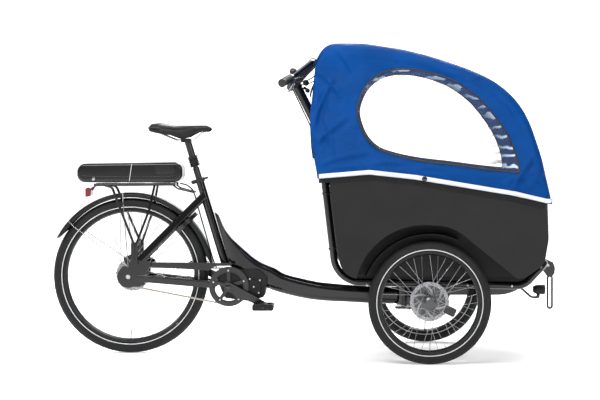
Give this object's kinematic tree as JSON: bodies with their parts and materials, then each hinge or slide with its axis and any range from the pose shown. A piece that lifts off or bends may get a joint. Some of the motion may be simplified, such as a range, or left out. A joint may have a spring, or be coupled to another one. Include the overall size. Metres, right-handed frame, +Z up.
{
  "type": "cargo bicycle",
  "caption": "Front-box cargo cycle with pedal assist: a covered child and cargo box steers on an upright pivot ahead of a rear cycle frame with rack battery and mid motor",
  "frame": {"origin": "on the ground below the middle of the bounding box", "axes": "+X forward, +Y to the rider's left, +Z up"},
  "size_m": [2.1375, 0.86, 1.3099],
  "materials": {
    "frame_paint": "satin black powder coat",
    "black_alloy": "black anodised",
    "black_plastic": "matte",
    "battery_plastic": "semi gloss",
    "box_plastic": "fine grained charcoal",
    "rim_band": "matte black edging",
    "tyre_rubber": "matt tread and side walls",
    "rim_black": "black anodised",
    "spoke_steel": "polished stainless",
    "hub_alloy": "silver and black",
    "steel": "zinc plated",
    "chain_steel": "oiled",
    "silver_alloy": "bright",
    "saddle_cover": "soft black synthetic leather",
    "grip_rubber": "ribbed",
    "cable_jacket": "smooth",
    "canopy_cloth": "royal blue coated woven",
    "window_film": "clear flexible film",
    "cushion_cloth": "padded black",
    "tail_lens": "dark red lens"
  },
  "bodies": {
    "rear_frame": {"main_tube": "frame_paint", "seat_tube": "frame_paint", "seat_stays": "frame_paint", "chain_stays": "frame_paint", "rear_axle": "steel", "seat_clamp": "black_alloy", "chain_guard": "frame_paint", "motor_housing": "black_plastic", "rack": "frame_paint", "rear_mudguard": "black_plastic", "mudguard_stays": "spoke_steel", "tail_light": "tail_lens", "lock_housing": "black_alloy", "rear_caliper": "black_alloy", "battery_cable": "cable_jacket", "chain": "chain_steel"},
    "battery": {"battery": "battery_plastic"},
    "seat_clamp_lever": {"seat_clamp_lever": "black_alloy"},
    "seatpost": {"seatpost": "black_alloy"},
    "saddle": {"seatpost_head": "black_alloy", "seatpost_boot": "black_plastic", "saddle": "saddle_cover", "saddle_rails": "steel"},
    "lock_shackle": {"lock_shackle": "steel"},
    "rear_wheel": {"rear_tyre": "tyre_rubber", "rear_rim": "rim_black", "rear_spokes": "spoke_steel", "rear_hub": "hub_alloy"},
    "rear_sprocket": {"rear_sprocket": "steel"},
    "crank": {"crank_axle": "steel", "crank_arms": "black_alloy", "chainring": "black_alloy"},
    "pedal_right": {"pedal_right": "black_plastic"},
    "pedal_left": {"pedal_left": "black_plastic"},
    "front_right_wheel": {"front_right_tyre": "tyre_rubber", "front_right_rim": "rim_black", "front_right_spokes": "spoke_steel", "front_right_hub": "hub_alloy"},
    "front_left_wheel": {"front_left_tyre": "tyre_rubber", "front_left_rim": "rim_black", "front_left_spokes": "spoke_steel", "front_left_hub": "hub_alloy"},
    "box_frame": {"cradle_frame": "frame_paint", "underframe": "frame_paint", "front_calipers": "black_alloy", "box_shell": "box_plastic", "box_rim": "rim_band", "bench": "cushion_cloth", "canopy_hoops": "steel", "canopy": "canopy_cloth", "canopy_windows": "window_film", "front_mudguards": "black_plastic", "steering_arm": "frame_paint", "front_brackets": "black_alloy"},
    "handlebar": {"handlebar": "black_alloy", "grips": "grip_rubber"},
    "brake_lever_right": {"brake_lever_right": "silver_alloy"},
    "brake_lever_left": {"brake_lever_left": "silver_alloy"},
    "front_loop": {"front_loop": "frame_paint"},
    "headlight": {"headlight": "black_plastic"}
  },
  "joints": [
    {"name": "steering", "type": "hinge", "parent": "rear_frame", "child": "box_frame", "pos_m": [0.42575, 0, 0.25], "axis": [0, 0, 1], "range_deg": [-40, 40]},
    {"name": "front_right_wheel_spin", "type": "hinge", "parent": "box_frame", "child": "front_right_wheel", "pos_m": [0.52425, -0.345, 0.25], "axis": [0, 1, 0], "continuous": true},
    {"name": "front_left_wheel_spin", "type": "hinge", "parent": "box_frame", "child": "front_left_wheel", "pos_m": [0.52425, 0.345, 0.25], "axis": [0, 1, 0], "continuous": true},
    {"name": "rear_wheel_spin", "type": "hinge", "parent": "rear_frame", "child": "rear_wheel", "pos_m": [-0.73925, 0, 0.3295], "axis": [0, 1, 0], "continuous": true},
    {"name": "crank_spin", "type": "hinge", "parent": "rear_frame", "child": "crank", "pos_m": [-0.31675, 0, 0.2866], "axis": [0, 1, 0], "continuous": true},
    {"name": "rear_sprocket_spin", "type": "hinge", "parent": "rear_frame", "child": "rear_sprocket", "pos_m": [-0.73925, 0, 0.3295], "axis": [0, 1, 0], "continuous": true},
    {"name": "pedal_right_spin", "type": "hinge", "parent": "crank", "child": "pedal_right", "pos_m": [-0.16488, -0.134, 0.21022], "axis": [0, 1, 0], "continuous": true},
    {"name": "pedal_left_spin", "type": "hinge", "parent": "crank", "child": "pedal_left", "pos_m": [-0.46862, 0.134, 0.36298], "axis": [0, 1, 0], "continuous": true},
    {"name": "seat_height", "type": "slide", "parent": "rear_frame", "child": "seatpost", "axis": [-0.2924, 0, 0.9563], "range_m": [-0.015, 0.1]},
    {"name": "seat_suspension", "type": "slide", "parent": "seatpost", "child": "saddle", "axis": [0.2924, 0, -0.9563], "range_m": [0, 0.035], "stiffness_N_per_m": 20000, "springref_m": -0.004},
    {"name": "seat_clamp_lever_swing", "type": "hinge", "parent": "rear_frame", "child": "seat_clamp_lever", "pos_m": [-0.47304, -0.025, 0.7274], "axis": [0.2924, 0, -0.9563], "range_deg": [0, 150]},
    {"name": "lock_shackle_turn", "type": "hinge", "parent": "rear_frame", "child": "lock_shackle", "pos_m": [-0.51085, 0, 0.54234], "axis": [0.7071, 0, -0.7071], "range_deg": [0, 124]},
    {"name": "battery_slide", "type": "slide", "parent": "rear_frame", "child": "battery", "axis": [-1, 0, 0], "range_m": [0, 0.12]},
    {"name": "stem_tilt", "type": "hinge", "parent": "box_frame", "child": "handlebar", "pos_m": [-0.03825, 0, 1.149], "axis": [0, -1, 0], "range_deg": [0, 25]},
    {"name": "brake_lever_right_pull", "type": "hinge", "parent": "handlebar", "child": "brake_lever_right", "pos_m": [-0.02882, -0.19579, 1.14345], "axis": [-0.7149, 0.3271, -0.618], "range_deg": [0, 10], "stiffness_Nm_per_rad": 3, "springref_deg": -5.73},
    {"name": "brake_lever_left_pull", "type": "hinge", "parent": "handlebar", "child": "brake_lever_left", "pos_m": [-0.02882, 0.19579, 1.14345], "axis": [0.7149, 0.3271, 0.618], "range_deg": [0, 10], "stiffness_Nm_per_rad": 3, "springref_deg": -5.73},
    {"name": "front_loop_swing", "type": "hinge", "parent": "box_frame", "child": "front_loop", "pos_m": [1.04675, 0, 0.334], "axis": [0, 1, 0], "range_deg": [-75, 0]},
    {"name": "headlight_tilt", "type": "hinge", "parent": "box_frame", "child": "headlight", "pos_m": [0.99775, 0, 0.239], "axis": [0, 1, 0], "range_deg": [-8, 1]}
  ],
  "couplings": [
    {"joint": "rear_sprocket_spin", "follows": "crank_spin", "ratio": 2}
  ]
}
